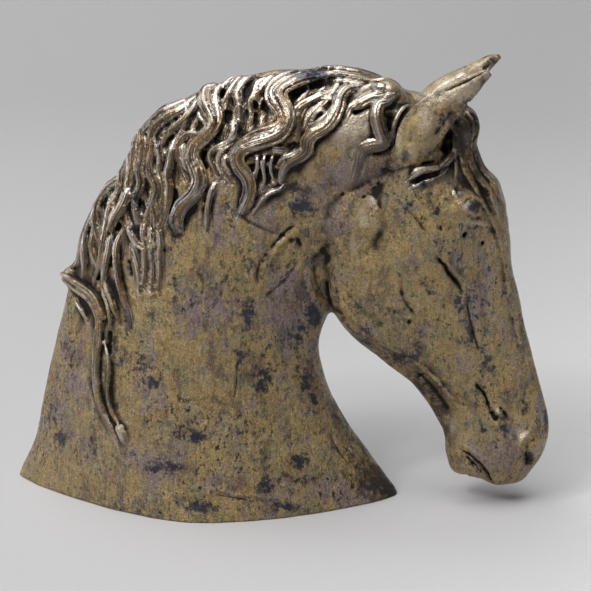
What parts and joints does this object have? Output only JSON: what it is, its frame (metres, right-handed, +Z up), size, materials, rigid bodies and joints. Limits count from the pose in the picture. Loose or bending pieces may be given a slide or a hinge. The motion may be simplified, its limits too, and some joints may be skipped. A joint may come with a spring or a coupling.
{
  "type": "horse bust",
  "caption": "Glazed ceramic bust of a horse: an arched neck that widens to a flat foot, a head bent to the chest, ears forward and a mane of wavy coils.",
  "frame": {"origin": "on the surface the bust stands on, under the middle of its bounding box", "axes": "+X where the horse looks, -Y the horse's right side, which carries the long locks of the mane, +Z up"},
  "size_m": [0.2396, 0.0918, 0.1962],
  "materials": {
    "bronze_glaze": "satin"
  },
  "bodies": {
    "root": {"horse_bust": "bronze_glaze"}
  },
  "joints": []
}
